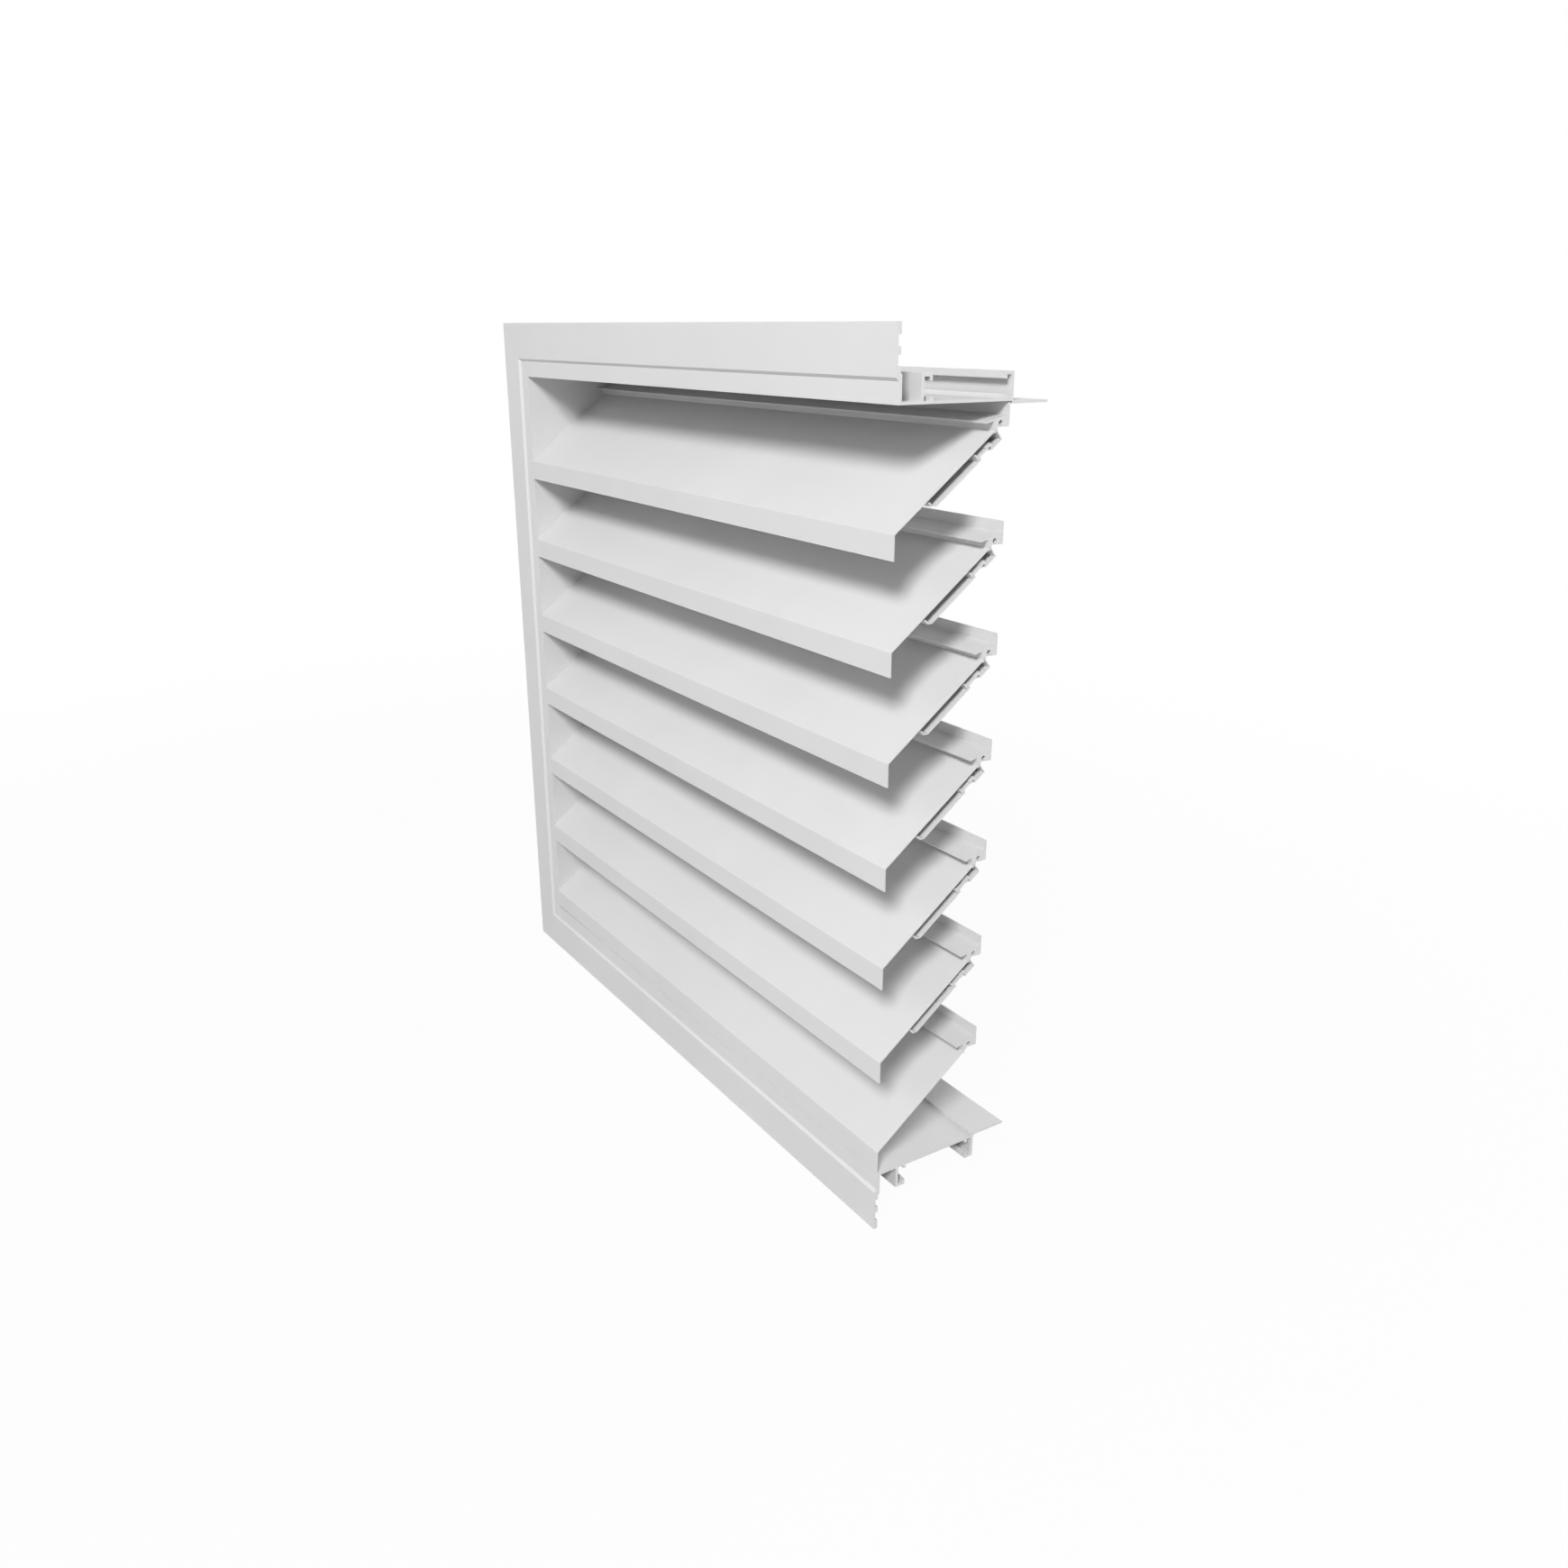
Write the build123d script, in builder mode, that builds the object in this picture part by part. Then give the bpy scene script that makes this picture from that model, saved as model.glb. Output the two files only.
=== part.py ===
from build123d import *
import math
import os

# Fixed weather louvre of extruded aluminium, a sample cut open at its right end.
# X runs along the blades, Y runs back into the wall and Z is up.
# The origin lies on the back of the left flange, half way up, where the wall takes it.

# Layout of the whole sample, in millimetres
sample_width = 822.0  # left edge of the flange to the cut end
blade_count = 7
blade_pitch = 100.0
lip_clearance = 2.5  # sill face to the lowest drip lip
head_clearance = 1.0  # head face to the highest upstand
seat_gap = 0.3  # fit between pieces that slide or clip together

# Frame section: depths are measured back from the flange front, insets from the flange edge
frame_inset = 63.8  # flange edge to the face towards the opening
frame_depth = 126.0
flange_wall = 1.6
rib_back = 4.4  # back of the ribs that bear on the wall
outer_rib_width = 9.5
inner_rib_inset = 18.8
inner_rib_width = 6.4
band_rib_inset = 33.8
step_inset = 42.5  # where the flange steps back to the inner band
step_run = 3.0
band_front = 2.6
band_wall = 3.6
band_heel = 2.0  # slope on the back of the band
web_wall = 2.4

# Legs of the frame, which make the channel that takes the corner cleats
leg_wall = 3.0
foot_inset = 39.2  # flange edge to the outside of the feet
front_leg_depth = 26.0
front_pocket = 6.0
rear_pocket = 4.8
foot_lip_wall = 2.4
foot_lip_reach = 6.4
hook_width = 3.6
hook_height = 3.5
hook_radius = 1.2

# Fin behind the frame
fin_length = 40.0
fin_wall = 2.1
fin_lap = 1.0
fin_radius = 1.0

# Blade section: depths from the flange front, heights from the bottom of the drip lip
blade_wall = 1.2
lip_front = 1.8
lip_height = 21.8
slope_angle = 37.2
nose_width = 2.6
nose_drop = 1.3

# Top of the blade: setbacks run forward from the back of the upstand, rises up from the slope's end
upstand_gap = 3.0  # back of the upstand to the back of the frame
upstand_wall = 1.6
upstand_rise = 22.8
slope_setback = 14.5
riser_wall = 1.3
riser_setback = 16.2
gutter_setback = 25.5
gutter_rise = 6.1
gutter_angle = 12.5
gutter_wall = 1.4
heel_rise = 2.9  # underside of the solid round the screw port
port_leg_rise = 1.2
port_leg_setback = 12.4

# Screw ports along the blades and the carriers
blade_port_bore = 4.6
blade_port_slot = 2.2
blade_port_setback = 9.5
blade_port_drop = 3.3  # underside of the gutter to the middle of the port
carrier_port_bore = 3.6
carrier_port_slot = 2.4
carrier_port_setback = 13.6
carrier_port_drop = 8.3
carrier_port_mouth = 1.3  # middle of the port down to its level mouth

# Holes in the jamb for the screws that go into those ports
screw_hole = 5.2
screw_head_room = 9.8  # cut out of the hook where a screw head seats

# Carrier under the top of each blade: distances from the slope's end and below the blade
under_wall = 1.2
carrier_length = 29.7
carrier_toe_top = 2.4
carrier_toe_bottom = 8.4
carrier_floor = 7.0
carrier_heel = 10.5
carrier_boss_top = 4.7
carrier_boss_reach = 3.2  # middle of the port to each side of the solid round it

# Liner clipped below the carrier, down to a toe behind the lip
liner_front = 42.6
liner_toe_top = 2.6
liner_toe_bottom = 6.5
liner_bevel = 4.5
liner_clip_width = 2.3

# Corner cleats
cleat_arm = 70.0

left = -outer_rib_width / 2
front = -rib_back
slope = math.radians(slope_angle)
lip_back = lip_front + blade_wall
upstand_back = frame_depth - upstand_gap
slope_end_depth = upstand_back - slope_setback
slope_length = (slope_end_depth - lip_back) / math.cos(slope)
slope_end_height = lip_height + slope_length * math.sin(slope)
upstand_top = slope_end_height + upstand_rise
gutter_front = upstand_back - gutter_setback
gutter_underside = slope_end_height + gutter_rise
blade_port_depth = upstand_back - blade_port_setback
blade_stack = (blade_count - 1) * blade_pitch
sample_height = 2 * frame_inset + lip_clearance + blade_stack + upstand_top + head_clearance
bottom = -sample_height / 2
top = bottom + sample_height
right = left + sample_width
opening_left = left + frame_inset
web_inset = frame_inset - web_wall
rear_leg_depth = frame_depth - leg_wall
front_lip_depth = front_leg_depth + leg_wall + front_pocket
rear_lip_depth = rear_leg_depth - rear_pocket
liner_floor = carrier_toe_bottom + seat_gap + under_wall
carrier_front = slope_length - carrier_length
clip_front = carrier_front + under_wall + seat_gap
carrier_port_along = slope_length - carrier_port_setback


def wall(x_from, x_to, y_from, y_to):
    # One straight wall of a section, given by its four sides.
    with Locations(((x_from + x_to) / 2, (y_from + y_to) / 2)):
        Rectangle(x_to - x_from, y_to - y_from)


def sheet_path(points, thickness):
    # A bent wall of even thickness, to the left of the given corners.
    with BuildLine() as edge:
        Polyline(*points)
        offset(amount=thickness, side=Side.LEFT)
    make_face(edge.edges())


def port_opening(x, y, bore, slot, turn):
    # The bore of a screw port and the slot that runs down out of it.
    with Locations((x, y)):
        Circle(bore / 2, mode=Mode.SUBTRACT)
        Rectangle(
            slot,
            bore,
            rotation=turn,
            align=(Align.CENTER, Align.MAX),
            mode=Mode.SUBTRACT,
        )


def flange_outline():
    band_back = band_front + band_wall
    step_end = step_inset + step_run
    heel_inset = step_inset - band_heel
    with BuildLine() as edge:
        Polyline(
            (0, 0),
            (0, step_inset),
            (band_front, step_end),
            (band_front, frame_inset),
            (band_back, frame_inset),
            (band_back, heel_inset),
            (rib_back, heel_inset - band_heel),
            (rib_back, band_rib_inset),
            (flange_wall, band_rib_inset),
            (flange_wall, 0),
            close=True,
        )
    make_face(edge.edges())
    wall(0, rib_back, 0, outer_rib_width)
    wall(0, rib_back, inner_rib_inset, inner_rib_inset + inner_rib_width)


def leg(depth, lip_depth):
    # A leg with a foot that turns to the cleat pocket, and the hook on the web across from it.
    lip_back_depth = lip_depth + foot_lip_wall
    hook_back_depth = lip_depth + hook_width
    if lip_depth < depth:
        lip_back_depth = lip_depth - foot_lip_wall
        hook_back_depth = lip_depth - hook_width
    foot_from = min(depth, lip_back_depth)
    foot_to = max(depth + leg_wall, lip_back_depth)
    wall(depth, depth + leg_wall, foot_inset, web_inset)
    wall(foot_from, foot_to, foot_inset, foot_inset + leg_wall)
    with Locations(((lip_depth + lip_back_depth) / 2, foot_inset + foot_lip_reach / 2)):
        RectangleRounded(foot_lip_wall, foot_lip_reach, foot_lip_wall / 3)
    with Locations(((lip_depth + hook_back_depth) / 2, frame_inset - (hook_height + web_wall) / 2)):
        RectangleRounded(hook_width, hook_height + web_wall, hook_radius)


def fin():
    fin_top = frame_inset + fin_wall
    with BuildLine() as edge:
        Polyline(
            (frame_depth - fin_lap, frame_inset - fin_lap),
            (frame_depth - fin_lap, fin_top),
            (frame_depth + fin_length, fin_top),
            (frame_depth + fin_length, frame_inset),
            (frame_depth, frame_inset),
            (frame_depth, frame_inset - fin_lap),
            close=True,
        )
    make_face(edge.edges())


def frame_section(plane):
    # The one section that head, sill and jamb are cut from.
    with BuildSketch(plane) as section:
        flange_outline()
        wall(band_front, frame_depth, web_inset, frame_inset)
        leg(front_leg_depth, front_lip_depth)
        leg(rear_leg_depth, rear_lip_depth)
        fin()
        fillet(section.vertices().group_by(Axis.Y)[-1], fin_radius)
    return section.sketch


def horizontal_frame(label, plane, mitre):
    with BuildPart() as member:
        extrude(frame_section(plane), amount=sample_width, dir=plane.z_dir)
        split(bisect_by=mitre, keep=Keep.TOP)
    member.part.label = label
    return member.part


def screw_places():
    # Depth and height of every screw through the jamb: one to a blade, one to a carrier.
    blade_port_height = gutter_height(blade_port_depth) - blade_port_drop
    carrier_port_depth, carrier_port_height = on_slope(carrier_port_along, carrier_port_drop)
    places = []
    for index in range(1, blade_count + 1):
        places.append((blade_port_depth, blade_lift(index) + blade_port_height))
    for index in range(1, blade_count):
        places.append((carrier_port_depth, blade_lift(index) + carrier_port_height))
    return places


def jamb(label):
    plane = Plane(origin=(left, front, top), x_dir=(0, 1, 0), z_dir=(0, 0, -1))
    web_back = Plane(origin=(left + web_inset, front, 0), x_dir=(0, 1, 0), z_dir=(1, 0, 0))
    with BuildPart() as member:
        extrude(frame_section(plane), amount=sample_height, dir=plane.z_dir)
        split(bisect_by=Plane(origin=(left, front, top), z_dir=(-1, 0, -1)), keep=Keep.TOP)
        split(bisect_by=Plane(origin=(left, front, bottom), z_dir=(-1, 0, 1)), keep=Keep.TOP)
        with BuildSketch(web_back):
            with Locations(*screw_places()):
                Circle(screw_hole / 2)
        extrude(amount=web_wall, mode=Mode.SUBTRACT)
        with BuildSketch(web_back):
            with Locations(*screw_places()):
                Circle(screw_head_room / 2)
        extrude(amount=-hook_height, mode=Mode.SUBTRACT)
    member.part.label = label
    return member.part


def corner_cleat(label, depth, pocket, corner_z, turn):
    # A flat angle that slides in the pockets of both members; turn is -1 at the head.
    near = foot_inset + leg_wall + seat_gap
    far = web_inset - seat_gap
    plane = Plane(
        origin=(left, front + depth + seat_gap, corner_z),
        x_dir=(1, 0, 0),
        z_dir=(0, -1, 0),
    )
    with BuildPart() as cleat:
        with BuildSketch(plane):
            wall(near, near + cleat_arm, *sorted((turn * near, turn * far)))
            wall(near, far, *sorted((turn * near, turn * (near + cleat_arm))))
        extrude(amount=-(pocket - 2 * seat_gap))
    cleat.part.label = label
    return cleat.part


def on_slope(along, below):
    # A point of the blade section, along the underside of the slope and square below it.
    depth = lip_back + along * math.cos(slope) + below * math.sin(slope)
    height = lip_height + along * math.sin(slope) - below * math.cos(slope)
    return depth, height


def gutter_height(depth):
    return gutter_underside + (depth - gutter_front) * math.tan(math.radians(gutter_angle))


def depth_at(start, end, height):
    # Where a straight line of the blade section passes a height.
    share = (height - start[1]) / (end[1] - start[1])
    return start[0] + share * (end[0] - start[0])


def blade_boss(riser_foot, riser_top):
    # Solid metal behind the riser and below the gutter, with a short leg down to the carrier.
    heel_bottom = slope_end_height + heel_rise
    leg_bottom = slope_end_height + port_leg_rise
    leg_back = upstand_back - port_leg_setback
    with BuildLine() as edge:
        Polyline(
            (depth_at(riser_foot, riser_top, leg_bottom) - riser_wall / 2, leg_bottom),
            (riser_top[0] - riser_wall / 2, riser_top[1]),
            (upstand_back, gutter_height(upstand_back) + gutter_wall / 2),
            (upstand_back, heel_bottom),
            (leg_back, heel_bottom),
            (leg_back, leg_bottom),
            close=True,
        )
    make_face(edge.edges())


def blade_section():
    upstand_front = upstand_back - upstand_wall
    sheet_path([(lip_back, 0), (lip_back, lip_height), on_slope(slope_length, 0)], blade_wall)
    with Locations(on_slope(slope_length - nose_width / 2, nose_drop / 2)):
        Rectangle(nose_width, nose_drop, rotation=slope_angle)
    riser_foot = on_slope(slope_length, -blade_wall / 2)
    riser_top_depth = upstand_back - riser_setback
    riser_top = (riser_top_depth, gutter_height(riser_top_depth) + gutter_wall / 2)
    sheet_path([riser_foot, riser_top], riser_wall)
    gutter_start = (gutter_front, gutter_underside)
    gutter_end = (upstand_back - upstand_wall / 2, gutter_height(upstand_back - upstand_wall / 2))
    sheet_path([gutter_start, gutter_end], gutter_wall)
    wall(upstand_front, upstand_back, slope_end_height + heel_rise, upstand_top)
    blade_boss(riser_foot, riser_top)
    port_height = gutter_height(blade_port_depth) - blade_port_drop
    port_opening(blade_port_depth, port_height, blade_port_bore, blade_port_slot, 0)


def carrier_boss():
    # Solid metal round the port, cut level under it although the carrier lies on the slope.
    boss_front = carrier_port_along - carrier_boss_reach
    boss_back = carrier_port_along + carrier_boss_reach
    mouth_along = carrier_port_along - carrier_port_mouth * math.sin(slope)
    mouth_below = carrier_port_drop + carrier_port_mouth * math.cos(slope)
    wall(boss_front, boss_back, -carrier_heel, -carrier_boss_top)
    with Locations((mouth_along, -mouth_below)):
        Rectangle(
            4 * carrier_boss_reach,
            carrier_heel,
            rotation=-slope_angle,
            align=(Align.CENTER, Align.MAX),
            mode=Mode.SUBTRACT,
        )


def carrier_section():
    carrier_back = slope_length + seat_gap + under_wall
    floor_back = carrier_port_along
    heel_front = carrier_port_along + carrier_boss_reach - under_wall
    carrier_boss()
    wall(carrier_front, carrier_front + under_wall, -carrier_toe_bottom, -carrier_toe_top)
    wall(carrier_front, floor_back, -carrier_floor, under_wall - carrier_floor)
    wall(heel_front, carrier_back, -carrier_heel, under_wall - carrier_heel)
    wall(carrier_back - under_wall, carrier_back, -carrier_heel, 0)
    port_opening(
        carrier_port_along,
        -carrier_port_drop,
        carrier_port_bore,
        carrier_port_slot,
        -slope_angle,
    )


def liner_section():
    floor_back = clip_front + liner_clip_width
    sheet_path(
        [
            (liner_front, -liner_toe_top),
            (liner_front, -liner_toe_bottom),
            (liner_front + liner_bevel, -liner_floor),
            (floor_back, -liner_floor),
        ],
        under_wall,
    )
    wall(clip_front, floor_back, -liner_floor, -(carrier_floor + seat_gap))


def blade_lift(index):
    return bottom + frame_inset + lip_clearance + (blade_count - index) * blade_pitch


def blade_plane(index):
    return Plane(origin=(opening_left, front, blade_lift(index)), x_dir=(0, 1, 0), z_dir=(1, 0, 0))


def slope_plane(index):
    # Same place, turned so that its first axis runs up the underside of the blade.
    depth, height = on_slope(0, 0)
    base = blade_plane(index).origin
    return Plane(
        origin=base + Vector(0, depth, height),
        x_dir=(0, math.cos(slope), math.sin(slope)),
        z_dir=(1, 0, 0),
    )


def extrusion(label, plane, draw_section):
    with BuildPart() as bar:
        with BuildSketch(plane):
            draw_section()
        extrude(amount=right - opening_left)
    bar.part.label = label
    return bar.part


pieces = [
    horizontal_frame(
        "head_frame",
        Plane(origin=(right, front, top), x_dir=(0, 1, 0), z_dir=(-1, 0, 0)),
        Plane(origin=(left, front, top), z_dir=(1, 0, 1)),
    ),
    horizontal_frame(
        "sill_frame",
        Plane(origin=(left, front, bottom), x_dir=(0, 1, 0), z_dir=(1, 0, 0)),
        Plane(origin=(left, front, bottom), z_dir=(1, 0, -1)),
    ),
    jamb("jamb_frame"),
]

front_pocket_depth = front_leg_depth + leg_wall
for place, corner_z, turn in (("head", top, -1), ("sill", bottom, 1)):
    front_cleat = corner_cleat(f"{place}_front_cleat", front_pocket_depth, front_pocket, corner_z, turn)
    rear_cleat = corner_cleat(f"{place}_rear_cleat", rear_lip_depth, rear_pocket, corner_z, turn)
    pieces.extend([front_cleat, rear_cleat])

for index in range(1, blade_count + 1):
    pieces.append(extrusion(f"blade_{index}", blade_plane(index), blade_section))

# The lowest blade sits on the sill and has nothing under it.
for index in range(1, blade_count):
    pieces.append(extrusion(f"blade_carrier_{index}", slope_plane(index), carrier_section))
    pieces.append(extrusion(f"blade_liner_{index}", slope_plane(index), liner_section))

os.makedirs("parts", exist_ok=True)
for piece in pieces:
    export_step(piece, f"parts/{piece.label}.step")
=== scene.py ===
import math

import bpy
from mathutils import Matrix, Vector


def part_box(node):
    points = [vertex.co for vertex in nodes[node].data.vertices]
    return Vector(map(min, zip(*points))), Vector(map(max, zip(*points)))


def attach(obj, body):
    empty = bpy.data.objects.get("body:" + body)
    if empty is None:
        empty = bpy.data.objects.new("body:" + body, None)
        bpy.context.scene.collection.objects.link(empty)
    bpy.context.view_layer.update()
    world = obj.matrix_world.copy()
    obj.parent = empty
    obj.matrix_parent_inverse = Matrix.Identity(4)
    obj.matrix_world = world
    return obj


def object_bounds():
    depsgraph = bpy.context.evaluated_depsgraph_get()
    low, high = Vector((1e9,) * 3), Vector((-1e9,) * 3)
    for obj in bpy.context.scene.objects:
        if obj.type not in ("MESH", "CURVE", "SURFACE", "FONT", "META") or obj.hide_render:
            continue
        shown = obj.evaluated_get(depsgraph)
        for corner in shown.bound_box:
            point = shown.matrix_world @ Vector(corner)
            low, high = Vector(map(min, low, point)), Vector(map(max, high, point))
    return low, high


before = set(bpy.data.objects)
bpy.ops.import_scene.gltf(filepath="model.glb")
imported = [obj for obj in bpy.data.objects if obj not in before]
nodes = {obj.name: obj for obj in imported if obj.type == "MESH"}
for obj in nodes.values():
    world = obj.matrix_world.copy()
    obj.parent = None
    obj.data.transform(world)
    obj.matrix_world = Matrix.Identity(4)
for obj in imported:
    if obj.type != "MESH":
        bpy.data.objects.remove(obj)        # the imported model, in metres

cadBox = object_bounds()
print("louvre: frame loaded,", len(nodes), "pieces")


def toLinear(hexColour):
    # An sRGB hex colour as Blender's linear values.
    parts = [int(hexColour[i:i + 2], 16) / 255 for i in (1, 3, 5)]
    return [p / 12.92 if p <= 0.04045 else ((p + 0.055) / 1.055) ** 2.4 for p in parts] + [1.0]


def addNode(tree, kind, at=(0, 0), settings=None, inputs=None):
    # One node: settings are its properties, inputs give each socket a value or the socket that feeds it.
    node = tree.nodes.new(kind)
    node.location = at
    for name, value in (settings or {}).items():
        setattr(node, name, value)
    for socket, value in (inputs or {}).items():
        if isinstance(value, bpy.types.NodeSocket):
            tree.links.new(value, node.inputs[socket])
        else:
            node.inputs[socket].default_value = value
    return node


def newMaterial(name):
    material = bpy.data.materials.new(name)
    material.use_nodes = True
    material.node_tree.nodes.clear()
    return material, material.node_tree


# Camera where the photograph was taken from: 19 degrees down, from the right of the cut end
cameraSetup = {
    "place": (1.6905, -0.6800, 0.4243),
    "down": 19.125,
    "turn": 56.919,
    "lens": 30.325,
    "sensor": 36.0,
}
cameraData = bpy.data.cameras.new("studioCamera")
cameraData.lens = cameraSetup["lens"]
cameraData.sensor_width = cameraSetup["sensor"]
camera = bpy.data.objects.new("studioCamera", cameraData)
camera.location = cameraSetup["place"]
camera.rotation_euler = (math.radians(90 - cameraSetup["down"]), 0, math.radians(cameraSetup["turn"]))
bpy.context.scene.collection.objects.link(camera)
bpy.context.scene.camera = camera
bpy.context.scene.view_settings.view_transform = "Standard"
print("louvre: camera set")


# Polyester powder coat on extruded aluminium, sprayed dry and baked: pale neutral grey, matt, with
# a faint orange peel, and the die lines of the extrusion only just telegraphing through.
coat = {
    "colour": "#D0D0D0",
    "thinColour": "#CCCCCC",      # where the film is a little thinner
    "sawnPaintedHighlightColour": "#DADADA",      # painted highlight: the sawn right end drawn paler, as it looks where the light falls on it
    "patchSize": 0.160,           # m, slow drift of the film's thickness
    "thinAndFull": (0.45, 0.85),  # noise values that show the thin colour and the full one
    "speckleShare": 0.25,         # how far the fine grain shows in the colour too
    "roughness": 0.52,
    "roughnessSpread": 0.07,
    "peelSize": 0.0028,           # m, one bump of the orange peel
    "peelHeight": 0.000035,       # m
    "grainSize": 0.0007,          # m, the matting grain, drawn coarser than the real 0.1 mm so that it shows
    "grainHeight": 0.000006,
    "dieLinePitch": 0.0022,       # m between die lines
    "dieLineLength": 0.600,
    "dieLineHeight": 0.000012,
    "sawStrokePitch": 0.0016,     # m between the blade's strokes on the sawn right end
    "sawStrokeHeight": 0.000022,
    "sawRadius": 0.30,            # m, the round saw that cut the sample
    "sawArcSqueeze": 0.12,        # flattens the arcs, as a large blade leaves them on a narrow wall
    "sawWander": 1.2,             # how far noise bends the strokes
    "sawWanderScale": 30.0,       # how fine that noise is beside the arcs
    "sawnDepth": 0.0005,          # m from the right end, within which a face that looks right counts as sawn
    "sawnFacing": 0.97,           # least X of the normal of a face that looks right
}
waveAtScaleOne = math.pi / 10     # m, one wave of a ring Wave Texture at scale 1


def powderCoat(name, alongUp):
    # The coat for bars that run along X, or up Z where alongUp is set.
    material, tree = newMaterial(name)
    place = addNode(tree, "ShaderNodeTexCoord", (-1700, 0)).outputs["Object"]
    facing = addNode(tree, "ShaderNodeNewGeometry", (-1700, -520)).outputs["Normal"]

    patches = addNode(tree, "ShaderNodeTexNoise", (-1300, 420),
                      inputs={"Scale": 1 / coat["patchSize"], "Detail": 3.0, "Roughness": 0.55,
                              "Vector": place})
    speckle = addNode(tree, "ShaderNodeTexNoise", (-1300, 180),
                      inputs={"Scale": 1 / coat["grainSize"], "Detail": 2.0, "Roughness": 0.6,
                              "Vector": place})
    mixed = addNode(tree, "ShaderNodeMath", (-1080, 330), {"operation": "MULTIPLY_ADD"},
                    {0: speckle.outputs["Fac"], 1: coat["speckleShare"], 2: patches.outputs["Fac"]})
    tone = addNode(tree, "ShaderNodeMapRange", (-880, 330),
                   inputs={"From Min": coat["thinAndFull"][0], "From Max": coat["thinAndFull"][1],
                           "Value": mixed.outputs[0]})
    colour = addNode(tree, "ShaderNodeMix", (-660, 330), {"data_type": "RGBA"},
                     {"A": toLinear(coat["thinColour"]), "B": toLinear(coat["colour"]),
                      "Factor": tone.outputs["Result"]})
    rough = addNode(tree, "ShaderNodeMapRange", (-660, 60),
                    inputs={"To Min": coat["roughness"] - coat["roughnessSpread"],
                            "To Max": coat["roughness"] + coat["roughnessSpread"],
                            "Value": speckle.outputs["Fac"]})

    peel = addNode(tree, "ShaderNodeTexNoise", (-1300, -60),
                   inputs={"Scale": 1 / coat["peelSize"], "Detail": 1.0, "Roughness": 0.4, "Vector": place})
    across, along = 1 / coat["dieLinePitch"], 1 / coat["dieLineLength"]
    stretch = (across, across, along) if alongUp else (along, across, across)
    lengthwise = addNode(tree, "ShaderNodeMapping", (-1500, -300), inputs={"Scale": stretch, "Vector": place})
    dieLines = addNode(tree, "ShaderNodeTexNoise", (-1300, -300),
                       inputs={"Scale": 1.0, "Detail": 2.0, "Roughness": 0.5,
                               "Vector": lengthwise.outputs["Vector"]})

    # The sawn end faces +X. Its strokes are arcs of a large round saw that came down from the front.
    facingX = addNode(tree, "ShaderNodeSeparateXYZ", (-1500, -560), inputs={"Vector": facing}).outputs["X"]
    placeX = addNode(tree, "ShaderNodeSeparateXYZ", (-1500, -680), inputs={"Vector": place}).outputs["X"]
    turnedRight = addNode(tree, "ShaderNodeMath", (-1300, -560), {"operation": "GREATER_THAN"},
                          {0: facingX, 1: coat["sawnFacing"]})
    atTheEnd = addNode(tree, "ShaderNodeMath", (-1300, -680), {"operation": "GREATER_THAN"},
                       {0: placeX, 1: cadBox[1][0] - coat["sawnDepth"]})
    isSawn = addNode(tree, "ShaderNodeMath", (-1120, -620), {"operation": "MULTIPLY"},
                     {0: turnedRight.outputs[0], 1: atTheEnd.outputs[0]})
    sawPlace = addNode(tree, "ShaderNodeMapping", (-1500, -840),
                       inputs={"Location": (0.0, coat["sawRadius"], 0.0),
                               "Scale": (0.0, 1.0, coat["sawArcSqueeze"]), "Vector": place})
    strokes = addNode(tree, "ShaderNodeTexWave", (-1300, -840),
                      {"wave_type": "RINGS", "rings_direction": "SPHERICAL", "wave_profile": "SAW"},
                      {"Scale": waveAtScaleOne / coat["sawStrokePitch"], "Distortion": coat["sawWander"],
                       "Detail": 2.0, "Detail Scale": coat["sawWanderScale"],
                       "Vector": sawPlace.outputs["Vector"]})
    sawHeight = addNode(tree, "ShaderNodeMath", (-1080, -720), {"operation": "MULTIPLY"},
                        {0: strokes.outputs["Fac"], 1: isSawn.outputs[0]})

    # Each relief is laid over the one before it.
    reliefs = ((peel.outputs["Fac"], coat["peelHeight"], (-440, -100)),
               (speckle.outputs["Fac"], coat["grainHeight"], (-260, -160)),
               (dieLines.outputs["Fac"], coat["dieLineHeight"], (-80, -220)),
               (sawHeight.outputs[0], coat["sawStrokeHeight"], (100, -280)))
    below = {}
    for relief, height, at in reliefs:
        bump = addNode(tree, "ShaderNodeBump", at,
                       inputs={"Strength": 1.0, "Distance": height, "Height": relief, **below})
        below = {"Normal": bump.outputs["Normal"]}

    # Painted highlight: the sawn right end, which faces the light, is drawn in a paler grey than the rest of
    # the coat.
    sawnPaintedHighlight = addNode(tree, "ShaderNodeMix", (100, 330), {"data_type": "RGBA"},
                        {"Factor": isSawn.outputs[0], "A": colour.outputs["Result"],
                         "B": toLinear(coat["sawnPaintedHighlightColour"])})
    shader = addNode(tree, "ShaderNodeBsdfPrincipled", (320, 200),
                     inputs={"IOR": 1.5, "Metallic": 0.0, "Base Color": sawnPaintedHighlight.outputs["Result"],
                             "Roughness": rough.outputs["Result"], "Normal": bump.outputs["Normal"]})
    addNode(tree, "ShaderNodeOutputMaterial", (640, 200), inputs={"Surface": shader.outputs[0]})
    return material


barCoat = powderCoat("greyPowderCoatOnBars", False)
jambCoat = powderCoat("greyPowderCoatOnJamb", True)
print("louvre: powder coat made")


# Mill finish aluminium, as it leaves the die: dull silver with long fine lines along the bar, no coat.
millSetup = {
    "colour": "#C6C8CA",
    "darkColour": "#AEB1B4",
    "roughness": (0.34, 0.52),
    "linePitch": 0.0007,          # m, drawn coarser than the real drawing lines so that they show
    "lineLength": 0.120,
    "lineHeight": 0.00001,
}


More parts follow.
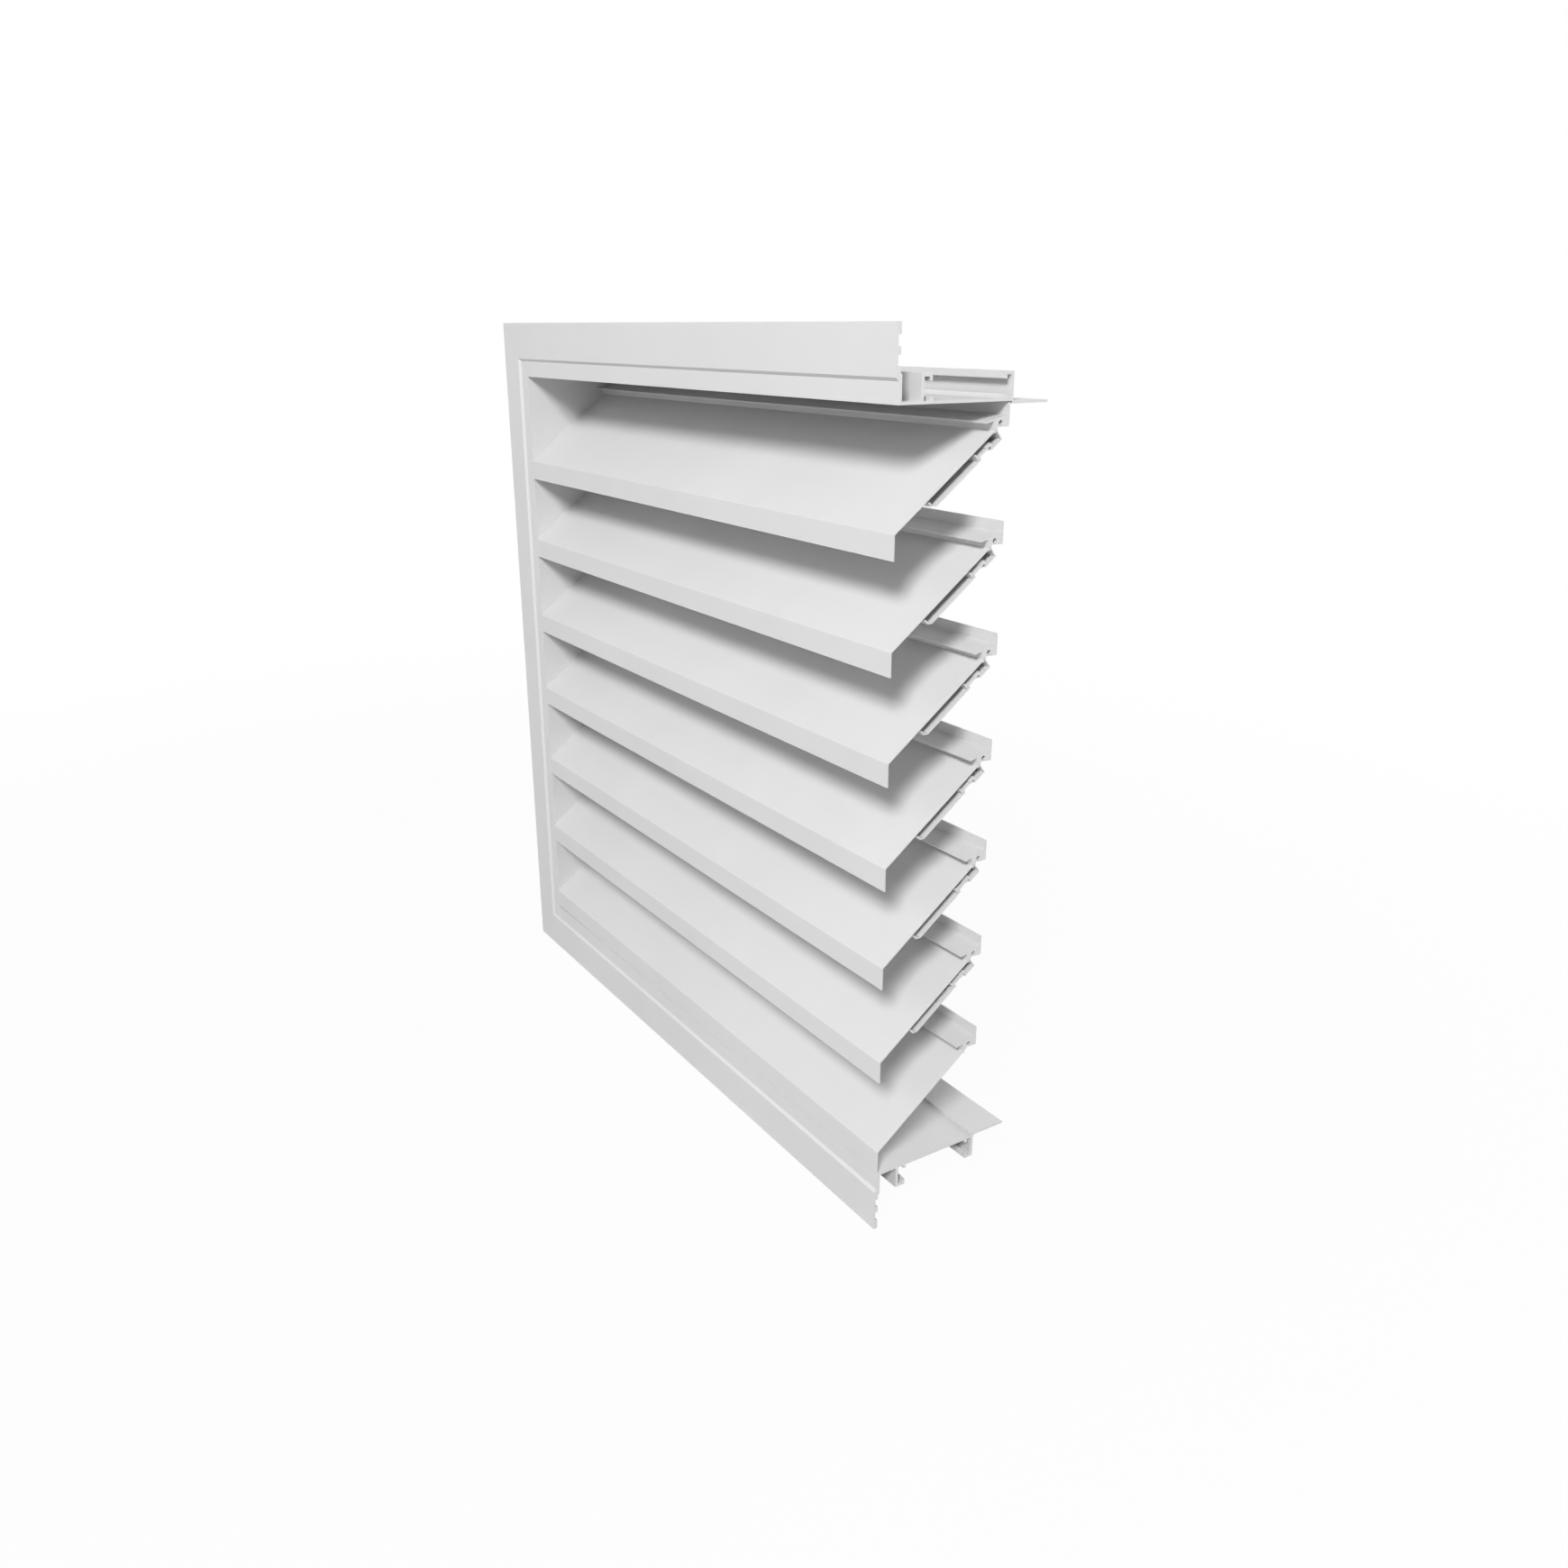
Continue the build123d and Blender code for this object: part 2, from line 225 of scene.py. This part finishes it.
def millFinish(name):
    material, tree = newMaterial(name)
    place = addNode(tree, "ShaderNodeTexCoord", (-1100, 0)).outputs["Object"]
    fine, long = 1 / millSetup["linePitch"], 1 / millSetup["lineLength"]
    stretched = addNode(tree, "ShaderNodeMapping", (-900, 0),
                        inputs={"Scale": (long, fine, fine), "Vector": place})
    lines = addNode(tree, "ShaderNodeTexNoise", (-700, 0),
                    inputs={"Scale": 1.0, "Detail": 4.0, "Vector": stretched.outputs["Vector"]})
    colour = addNode(tree, "ShaderNodeMix", (-450, 160), {"data_type": "RGBA"},
                     {"A": toLinear(millSetup["darkColour"]), "B": toLinear(millSetup["colour"]),
                      "Factor": lines.outputs["Fac"]})
    rough = addNode(tree, "ShaderNodeMapRange", (-450, -60),
                    inputs={"To Min": millSetup["roughness"][0], "To Max": millSetup["roughness"][1],
                            "Value": lines.outputs["Fac"]})
    bump = addNode(tree, "ShaderNodeBump", (-250, -220),
                   inputs={"Strength": 1.0, "Distance": millSetup["lineHeight"],
                           "Height": lines.outputs["Fac"]})
    shader = addNode(tree, "ShaderNodeBsdfPrincipled", (0, 100),
                     inputs={"Metallic": 1.0, "Base Color": colour.outputs["Result"],
                             "Roughness": rough.outputs["Result"], "Normal": bump.outputs["Normal"]})
    addNode(tree, "ShaderNodeOutputMaterial", (300, 100), inputs={"Surface": shader.outputs[0]})
    return material


cleatMetal = millFinish("millFinishAluminium")

for name, piece in nodes.items():
    finish = barCoat
    if name.endswith("_cleat"):
        finish = cleatMetal
    elif name == "jamb_frame":
        finish = jambCoat
    if not piece.material_slots:
        piece.data.materials.append(finish)
    for slot in piece.material_slots:
        slot.material = finish
print("louvre: finishes on the CAD pieces")


# Stainless self-tapping screws, cold headed and rolled: bright, smooth, with a slight turned sheen.
screwMetalSetup = {
    "colour": "#CFCDC8",
    "roughness": (0.22, 0.34),
    "blotch": 0.004,              # m
    "blotchHeight": 0.00001,
}
screwMetal, metalTree = newMaterial("stainlessScrewSteel")
metalPlace = addNode(metalTree, "ShaderNodeTexCoord", (-900, 0)).outputs["Object"]
blotches = addNode(metalTree, "ShaderNodeTexNoise", (-700, 0),
                   inputs={"Scale": 1 / screwMetalSetup["blotch"], "Detail": 3.0, "Vector": metalPlace})
metalRough = addNode(metalTree, "ShaderNodeMapRange", (-450, -60),
                     inputs={"To Min": screwMetalSetup["roughness"][0],
                             "To Max": screwMetalSetup["roughness"][1], "Value": blotches.outputs["Fac"]})
metalBump = addNode(metalTree, "ShaderNodeBump", (-250, -200),
                    inputs={"Strength": 1.0, "Distance": screwMetalSetup["blotchHeight"],
                            "Height": blotches.outputs["Fac"]})
metalShader = addNode(metalTree, "ShaderNodeBsdfPrincipled", (0, 100),
                      inputs={"Metallic": 1.0, "Base Color": toLinear(screwMetalSetup["colour"]),
                              "Roughness": metalRough.outputs["Result"],
                              "Normal": metalBump.outputs["Normal"]})
addNode(metalTree, "ShaderNodeOutputMaterial", (300, 100), inputs={"Surface": metalShader.outputs[0]})


# The jamb is fixed to the blades from outside: a pan head screw through its web into each screw port.
# Heads can be seen in the jamb's channel from the left, tips in the ports' slots from below.
screws = {
    "blade": {
        "count": 7,
        "fromTop": 0.016453,      # m, top of the blade's upstand down to the port
        "fromBack": 0.0095,       # m, back of the upstand forward to the port
        "sizes": {"Head Diameter": 0.0090, "Head Height": 0.0030, "Shank Diameter": 0.0044,
                  "Thread Depth": 0.0005, "Thread Pitch": 0.0016, "Length": 0.0220,
                  "Recess Width": 0.0011, "Recess Length": 0.0046, "Recess Depth": 0.0019},
    },
    "carrier": {
        "count": 6,
        "fromTop": 0.037634,
        "fromBack": 0.020315,
        "sizes": {"Head Diameter": 0.0072, "Head Height": 0.0025, "Shank Diameter": 0.0034,
                  "Thread Depth": 0.0004, "Thread Pitch": 0.0013, "Length": 0.0190,
                  "Recess Width": 0.0009, "Recess Length": 0.0037, "Recess Depth": 0.0015},
    },
    "webWall": 0.0024,            # m, the jamb's wall that the head seats on
    "sides": 24,
    "headRings": 4,               # rows of faces up the side of the head
    "crownRings": 5,              # and from its rim in to the middle
    "domeShare": 0.45,            # how far the crown falls at its rim, as a share of the head's height
    "domePower": 2.6,             # higher keeps the crown flat for longer before it falls
    "seated": 0.0004,             # m, how far the shank starts inside the head
    "ringsToThread": 6,           # rings of the shank to one turn of the thread
    "threadKeenness": 1.8,        # higher makes the thread's ridges narrower and its valleys wider
    "pointLength": 0.0040,        # m
    "pointPower": 0.7,            # 1 is a straight cone, less is rounder
    "bluntest": 0.06,             # the tip is as thick as the point is at this share of its length
    "onAxis": 0.00001,            # m, nearer than this a point of the mesh is on the axis
    "recessTaper": 0.32,          # how much narrower the cross is at its bottom
    "barDepths": (2.0, 1.9),      # height of each bar, as a share of the recess depth; half of it cuts
    "creaseAngle": 32,            # degrees
}


def screwTree():
    tree = bpy.data.node_groups.new("panHeadScrews", "GeometryNodeTree")
    tree.interface.new_socket("Geometry", in_out="INPUT", socket_type="NodeSocketGeometry")
    for name in screws["blade"]["sizes"]:
        tree.interface.new_socket(name, in_out="INPUT", socket_type="NodeSocketFloat")
    tree.interface.new_socket("Material", in_out="INPUT", socket_type="NodeSocketMaterial")
    tree.interface.new_socket("Geometry", in_out="OUTPUT", socket_type="NodeSocketGeometry")
    given = addNode(tree, "NodeGroupInput", (-1900, 0)).outputs

    # Head: a short cylinder below zero, its outer end drawn into a low dome.
    headRadius = addNode(tree, "ShaderNodeMath", (-1700, 700), {"operation": "MULTIPLY"},
                         {0: given["Head Diameter"], 1: 0.5}).outputs[0]
    head = addNode(tree, "GeometryNodeMeshCylinder", (-1500, 700), {"fill_type": "TRIANGLE_FAN"},
                   {"Vertices": screws["sides"], "Side Segments": screws["headRings"],
                    "Fill Segments": screws["crownRings"], "Radius": headRadius,
                    "Depth": given["Head Height"]})
    at = addNode(tree, "GeometryNodeInputPosition", (-1700, 450)).outputs["Position"]
    split = addNode(tree, "ShaderNodeSeparateXYZ", (-1500, 450), inputs={"Vector": at}).outputs
    flat = addNode(tree, "ShaderNodeCombineXYZ", (-1300, 450), inputs={"X": split["X"], "Y": split["Y"]})
    out = addNode(tree, "ShaderNodeVectorMath", (-1100, 450), {"operation": "LENGTH"},
                  {0: flat.outputs[0]}).outputs["Value"]
    share = addNode(tree, "ShaderNodeMath", (-900, 450), {"operation": "DIVIDE"},
                    {0: out, 1: headRadius}).outputs[0]
    domed = addNode(tree, "ShaderNodeMath", (-700, 450), {"operation": "POWER"},
                    {0: share, 1: screws["domePower"]}).outputs[0]
    lift = addNode(tree, "ShaderNodeMath", (-500, 450), {"operation": "MULTIPLY"},
                   {0: domed, 1: given["Head Height"]}).outputs[0]
    rise = addNode(tree, "ShaderNodeMath", (-300, 450), {"operation": "MULTIPLY"},
                   {0: lift, 1: screws["domeShare"]}).outputs[0]
    isCrown = addNode(tree, "ShaderNodeMath", (-700, 300), {"operation": "LESS_THAN"},
                      {0: split["Z"], 1: 0.0}).outputs[0]
    crownRise = addNode(tree, "ShaderNodeMath", (-100, 400), {"operation": "MULTIPLY"},
                        {0: rise, 1: isCrown}).outputs[0]
    halfHeight = addNode(tree, "ShaderNodeMath", (-500, 250), {"operation": "MULTIPLY"},
                         {0: given["Head Height"], 1: -0.5}).outputs[0]
    headShift = addNode(tree, "ShaderNodeMath", (100, 350), {"operation": "ADD"},
                        {0: crownRise, 1: halfHeight}).outputs[0]
    headOffset = addNode(tree, "ShaderNodeCombineXYZ", (300, 350), inputs={"Z": headShift})
    headSet = addNode(tree, "GeometryNodeSetPosition", (500, 650),
                      inputs={"Geometry": head.outputs["Mesh"], "Offset": headOffset.outputs[0]})

    # Shank: rings close enough to carry the thread, which is only a radius that turns with the height.
    turns = addNode(tree, "ShaderNodeMath", (-1700, -100), {"operation": "DIVIDE"},
                    {0: given["Length"], 1: given["Thread Pitch"]}).outputs[0]
    rings = addNode(tree, "ShaderNodeMath", (-1500, -100), {"operation": "MULTIPLY"},
                    {0: turns, 1: screws["ringsToThread"]}).outputs[0]
    shankRadius = addNode(tree, "ShaderNodeMath", (-1700, -250), {"operation": "MULTIPLY"},
                          {0: given["Shank Diameter"], 1: 0.5}).outputs[0]
    shank = addNode(tree, "GeometryNodeMeshCylinder", (-1300, -150), {"fill_type": "TRIANGLE_FAN"},
                    {"Vertices": screws["sides"], "Fill Segments": 1, "Side Segments": rings,
                     "Radius": shankRadius, "Depth": given["Length"]})
    halfLength = addNode(tree, "ShaderNodeMath", (-1500, -400), {"operation": "MULTIPLY"},
                         {0: given["Length"], 1: 0.5}).outputs[0]
    height = addNode(tree, "ShaderNodeMath", (-1300, -400), {"operation": "ADD"},
                     {0: split["Z"], 1: halfLength}).outputs[0]
    angle = addNode(tree, "ShaderNodeMath", (-1300, -560), {"operation": "ARCTAN2"},
                    {0: split["Y"], 1: split["X"]}).outputs[0]
    angleShare = addNode(tree, "ShaderNodeMath", (-1100, -560), {"operation": "DIVIDE"},
                         {0: angle, 1: 2 * math.pi}).outputs[0]
    heightShare = addNode(tree, "ShaderNodeMath", (-1100, -400), {"operation": "DIVIDE"},
                          {0: height, 1: given["Thread Pitch"]}).outputs[0]
    phase = addNode(tree, "ShaderNodeMath", (-900, -480), {"operation": "ADD"},
                    {0: heightShare, 1: angleShare}).outputs[0]
    ridge = addNode(tree, "ShaderNodeMath", (-700, -480), {"operation": "PINGPONG"},
                    {0: phase, 1: 0.5}).outputs[0]
    sharp = addNode(tree, "ShaderNodeMath", (-500, -480), {"operation": "MULTIPLY"},
                    {0: ridge, 1: 2.0}).outputs[0]
    keen = addNode(tree, "ShaderNodeMath", (-300, -480), {"operation": "POWER"},
                   {0: sharp, 1: screws["threadKeenness"]}).outputs[0]
    valley = addNode(tree, "ShaderNodeMath", (-100, -480), {"operation": "SUBTRACT"},
                     {0: 1.0, 1: keen}).outputs[0]
    depth = addNode(tree, "ShaderNodeMath", (100, -480), {"operation": "MULTIPLY"},
                    {0: valley, 1: given["Thread Depth"]}).outputs[0]
    threaded = addNode(tree, "ShaderNodeMath", (300, -480), {"operation": "SUBTRACT"},
                       {0: shankRadius, 1: depth}).outputs[0]
    toPoint = addNode(tree, "ShaderNodeMath", (-900, -700), {"operation": "SUBTRACT"},
                      {0: given["Length"], 1: height}).outputs[0]
    pointShare = addNode(tree, "ShaderNodeMath", (-700, -700), {"operation": "DIVIDE"},
                         {0: toPoint, 1: screws["pointLength"]}).outputs[0]
    blunt = addNode(tree, "ShaderNodeMath", (-500, -700), {"operation": "MAXIMUM"},
                    {0: pointShare, 1: screws["bluntest"]}).outputs[0]
    taper = addNode(tree, "ShaderNodeMath", (-300, -700), {"operation": "MINIMUM"},
                    {0: blunt, 1: 1.0}).outputs[0]
    rounded = addNode(tree, "ShaderNodeMath", (-100, -700), {"operation": "POWER"},
                      {0: taper, 1: screws["pointPower"]}).outputs[0]
    radius = addNode(tree, "ShaderNodeMath", (500, -560), {"operation": "MULTIPLY"},
                     {0: threaded, 1: rounded}).outputs[0]
    nearAxis = addNode(tree, "ShaderNodeMath", (-100, -860), {"operation": "LESS_THAN"},
                       {0: out, 1: screws["onAxis"]}).outputs[0]
    offAxis = addNode(tree, "ShaderNodeMath", (100, -860), {"operation": "SUBTRACT"},
                      {0: 1.0, 1: nearAxis}).outputs[0]
    safeOut = addNode(tree, "ShaderNodeMath", (300, -860), {"operation": "MAXIMUM"},
                      {0: out, 1: screws["onAxis"]}).outputs[0]
    growth = addNode(tree, "ShaderNodeMath", (700, -620), {"operation": "DIVIDE"},
                     {0: radius, 1: safeOut}).outputs[0]
    kept = addNode(tree, "ShaderNodeMath", (900, -620), {"operation": "MULTIPLY"},
                   {0: growth, 1: offAxis}).outputs[0]
    shankX = addNode(tree, "ShaderNodeMath", (1100, -480), {"operation": "MULTIPLY"},
                     {0: split["X"], 1: kept}).outputs[0]
    shankY = addNode(tree, "ShaderNodeMath", (1100, -640), {"operation": "MULTIPLY"},
                     {0: split["Y"], 1: kept}).outputs[0]
    sunk = addNode(tree, "ShaderNodeMath", (1100, -800), {"operation": "SUBTRACT"},
                   {0: height, 1: screws["seated"]}).outputs[0]
    shankPlace = addNode(tree, "ShaderNodeCombineXYZ", (1300, -560),
                         inputs={"X": shankX, "Y": shankY, "Z": sunk})
    shankSet = addNode(tree, "GeometryNodeSetPosition", (1500, -300),
                       inputs={"Geometry": shank.outputs["Mesh"], "Position": shankPlace.outputs[0]})

    # Cross recess: two tapered bars cut out of the crown, one a little deeper than the other.
    cutters = []
    for across, (lengthName, widthName) in enumerate((("Recess Length", "Recess Width"),
                                                      ("Recess Width", "Recess Length"))):
        row = 1100 + 300 * across
        deep = addNode(tree, "ShaderNodeMath", (-1700, row), {"operation": "MULTIPLY"},
                       {0: given["Recess Depth"], 1: screws["barDepths"][across]}).outputs[0]
        barSize = addNode(tree, "ShaderNodeCombineXYZ", (-1500, row),
                          inputs={"X": given[lengthName], "Y": given[widthName], "Z": deep})
        bar = addNode(tree, "GeometryNodeMeshCube", (-1300, row), inputs={"Size": barSize.outputs[0]})
        narrow = addNode(tree, "ShaderNodeMath", (-1100, row), {"operation": "GREATER_THAN"},
                         {0: split["Z"], 1: 0.0}).outputs[0]
        shrink = addNode(tree, "ShaderNodeMath", (-900, row), {"operation": "MULTIPLY"},
                         {0: narrow, 1: -screws["recessTaper"]}).outputs[0]
        inward = addNode(tree, "ShaderNodeVectorMath", (-700, row), {"operation": "SCALE"},
                         {0: flat.outputs[0], "Scale": shrink})
        crownDrop = addNode(tree, "ShaderNodeMath", (-900, row + 140), {"operation": "MULTIPLY"},
                            {0: given["Head Height"], 1: -1.0}).outputs[0]
        barDrop = addNode(tree, "ShaderNodeCombineXYZ", (-700, row + 140), inputs={"Z": crownDrop})
        barOffset = addNode(tree, "ShaderNodeVectorMath", (-500, row), {"operation": "ADD"},
                            {0: inward.outputs[0], 1: barDrop.outputs[0]})
        cutters.append(addNode(tree, "GeometryNodeSetPosition", (-300, row),
                               inputs={"Geometry": bar.outputs["Mesh"], "Offset": barOffset.outputs[0]}))
    recessed = headSet.outputs["Geometry"]
    for step, cutter in enumerate(cutters):
        cut = addNode(tree, "GeometryNodeMeshBoolean", (700 + 200 * step, 800),
                      {"operation": "DIFFERENCE", "solver": "EXACT"}, {"Mesh 1": recessed})
        tree.links.new(cutter.outputs["Geometry"], cut.inputs["Mesh 2"])
        recessed = cut.outputs["Mesh"]
    whole = addNode(tree, "GeometryNodeJoinGeometry", (1700, 200))
    tree.links.new(recessed, whole.inputs["Geometry"])
    tree.links.new(shankSet.outputs["Geometry"], whole.inputs["Geometry"])

    # Each point of the input carries one screw, turned so that its axis runs along X.
    placed = addNode(tree, "GeometryNodeInstanceOnPoints", (2100, 200),
                     inputs={"Rotation": (0.0, math.pi / 2, 0.0), "Points": given["Geometry"],
                             "Instance": whole.outputs["Geometry"]})
    real = addNode(tree, "GeometryNodeRealizeInstances", (2300, 200),
                   inputs={"Geometry": placed.outputs["Instances"]})
    bend = addNode(tree, "GeometryNodeInputMeshEdgeAngle", (2300, 0)).outputs["Unsigned Angle"]
    isEdge = addNode(tree, "ShaderNodeMath", (2500, 0), {"operation": "GREATER_THAN"},
                     {0: bend, 1: math.radians(screws["creaseAngle"])}).outputs[0]
    smooth = addNode(tree, "GeometryNodeSetShadeSmooth", (2500, 200), {"domain": "FACE"},
                     {"Shade Smooth": True, "Geometry": real.outputs["Geometry"]})
    creased = addNode(tree, "GeometryNodeSetShadeSmooth", (2700, 200), {"domain": "EDGE"},
                      {"Shade Smooth": False, "Geometry": smooth.outputs["Geometry"], "Selection": isEdge})
    finished = addNode(tree, "GeometryNodeSetMaterial", (2900, 200),
                       inputs={"Geometry": creased.outputs["Geometry"], "Material": given["Material"]})
    addNode(tree, "NodeGroupOutput", (3100, 200), inputs={0: finished.outputs["Geometry"]})
    return tree


screwNodes = screwTree()
for kind in ("blade", "carrier"):
    setup = screws[kind]
    points = []
    for index in range(1, setup["count"] + 1):
        low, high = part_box(f"blade_{index}")
        points.append((low[0] - screws["webWall"], high[1] - setup["fromBack"], high[2] - setup["fromTop"]))
    pointMesh = bpy.data.meshes.new(kind + "ScrewPoints")
    pointMesh.from_pydata(points, [], [])
    host = bpy.data.objects.new(kind + "ScrewHost", pointMesh)
    bpy.context.scene.collection.objects.link(host)
    modifier = host.modifiers.new("screws", "NODES")
    modifier.node_group = screwNodes
    for item in screwNodes.interface.items_tree:
        if item.in_out == "INPUT" and item.name in setup["sizes"]:
            modifier[item.identifier] = setup["sizes"][item.name]
        elif item.in_out == "INPUT" and item.name == "Material":
            modifier[item.identifier] = screwMetal
    settled = host.evaluated_get(bpy.context.evaluated_depsgraph_get())
    screwMesh = bpy.data.meshes.new_from_object(settled)
    screwMesh.name = kind + "Screws"
    host.modifiers.remove(modifier)
    bpy.data.objects.remove(host)
    piece = bpy.data.objects.new(kind + "Screws", screwMesh)
    bpy.context.scene.collection.objects.link(piece)
    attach(piece, "root")
    print("louvre:", setup["count"], kind, "screws,", len(screwMesh.polygons), "faces")


# Floor and surroundings: white to the camera, with the floor keeping a faint shadow of the louvre
studio = {
    "floorColour": "#B8B8B8",
    "floorWhite": 0.96,           # share of the camera's view of the floor that is plain white
    "floorFade": (0.7, 2.4),      # m from the middle, over which the rest turns white too
    "floorRoughness": (0.75, 0.9),
    "floorMottle": 0.125,         # m
    "floorSize": 14.0,
    "floorGap": 0.0006,           # m below the lowest edge
    "ambient": 0.305,
}


def seenDirectly(tree, at):
    # 1 for what the camera sees, also by reflection and through glass, 0 for light that is sent on.
    rays = addNode(tree, "ShaderNodeLightPath", at).outputs
    direct = addNode(tree, "ShaderNodeMath", (at[0] + 200, at[1]), {"operation": "MAXIMUM"},
                     {0: rays["Is Camera Ray"], 1: rays["Is Glossy Ray"]}).outputs[0]
    return addNode(tree, "ShaderNodeMath", (at[0] + 400, at[1]), {"operation": "MAXIMUM"},
                   {0: direct, 1: rays["Is Transmission Ray"]}).outputs[0]


floorMaterial, floorTree = newMaterial("paintedStudioFloor")
floorPlace = addNode(floorTree, "ShaderNodeTexCoord", (-900, 0)).outputs["Object"]
floorMottle = addNode(floorTree, "ShaderNodeTexNoise", (-700, 0),
                      inputs={"Scale": 1 / studio["floorMottle"], "Detail": 3.0, "Vector": floorPlace})
floorRough = addNode(floorTree, "ShaderNodeMapRange", (-480, 0),
                     inputs={"To Min": studio["floorRoughness"][0], "To Max": studio["floorRoughness"][1],
                             "Value": floorMottle.outputs["Fac"]})
floorShader = addNode(floorTree, "ShaderNodeBsdfPrincipled", (-260, 100),
                      inputs={"Base Color": toLinear(studio["floorColour"]),
                              "Roughness": floorRough.outputs["Result"]})
floorGlow = addNode(floorTree, "ShaderNodeEmission", (-260, -300), inputs={"Strength": 1.0})
floorOut = addNode(floorTree, "ShaderNodeVectorMath", (-480, 300), {"operation": "LENGTH"},
                   {0: floorPlace}).outputs["Value"]
floorWhite = addNode(floorTree, "ShaderNodeMapRange", (-260, 300), {"interpolation_type": "SMOOTHSTEP"},
                     {"From Min": studio["floorFade"][0], "From Max": studio["floorFade"][1],
                      "To Min": studio["floorWhite"], "To Max": 1.0, "Value": floorOut})
floorShare = addNode(floorTree, "ShaderNodeMath", (-60, 400), {"operation": "MULTIPLY"},
                     {0: floorWhite.outputs["Result"], 1: seenDirectly(floorTree, (-900, 500))}).outputs[0]
floorMix = addNode(floorTree, "ShaderNodeMixShader", (140, 100),
                   inputs={0: floorShare, 1: floorShader.outputs[0], 2: floorGlow.outputs[0]})
addNode(floorTree, "ShaderNodeOutputMaterial", (340, 100), inputs={"Surface": floorMix.outputs[0]})

half = studio["floorSize"] / 2
level = cadBox[0][2] - studio["floorGap"]
floorMesh = bpy.data.meshes.new("studioFloor")
corners = [(x * half, y * half, level) for x, y in ((-1, -1), (1, -1), (1, 1), (-1, 1))]
floorMesh.from_pydata(corners, [], [(0, 1, 2, 3)])
floorMesh.materials.append(floorMaterial)
floor = bpy.data.objects.new("studioFloor", floorMesh)
bpy.context.scene.collection.objects.link(floor)

world = bpy.data.worlds.new("whiteStudio")
bpy.context.scene.world = world
world.use_nodes = True
worldTree = world.node_tree
worldTree.nodes.clear()
strength = addNode(worldTree, "ShaderNodeMapRange", (-300, 200),
                   inputs={"To Min": studio["ambient"], "To Max": 1.0,
                           "Value": seenDirectly(worldTree, (-900, 200))})
sky = addNode(worldTree, "ShaderNodeBackground", (-100, 100),
              inputs={"Color": (1, 1, 1, 1), "Strength": strength.outputs["Result"]})
addNode(worldTree, "ShaderNodeOutputWorld", (100, 100), inputs={"Surface": sky.outputs[0]})

# Soft round lamps: the key from the front right, a fill from the front left, a low one behind
lamps = {
    "key": {"place": (3.37, -2.80, 2.88), "size": 1.3, "power": 233.0},
    "fill": {"place": (-2.142, -5.444, 3.5), "size": 3.5, "power": 66.0},
    "back": {"place": (-2.5, 5.4, 1.0), "size": 2.4, "power": 170.0},
}
lampTarget = Vector((0.42, 0.05, 0.0))
for name, setup in lamps.items():
    lampData = bpy.data.lights.new(name + "Light", "AREA")
    lampData.shape = "DISK"
    lampData.size = setup["size"]
    lampData.energy = setup["power"]
    lamp = bpy.data.objects.new(name + "Light", lampData)
    lamp.location = setup["place"]
    lamp.rotation_euler = (lampTarget - lamp.location).to_track_quat("-Z", "Y").to_euler()
    bpy.context.scene.collection.objects.link(lamp)
print("louvre: floor and lights made")

print("louvre: finished")
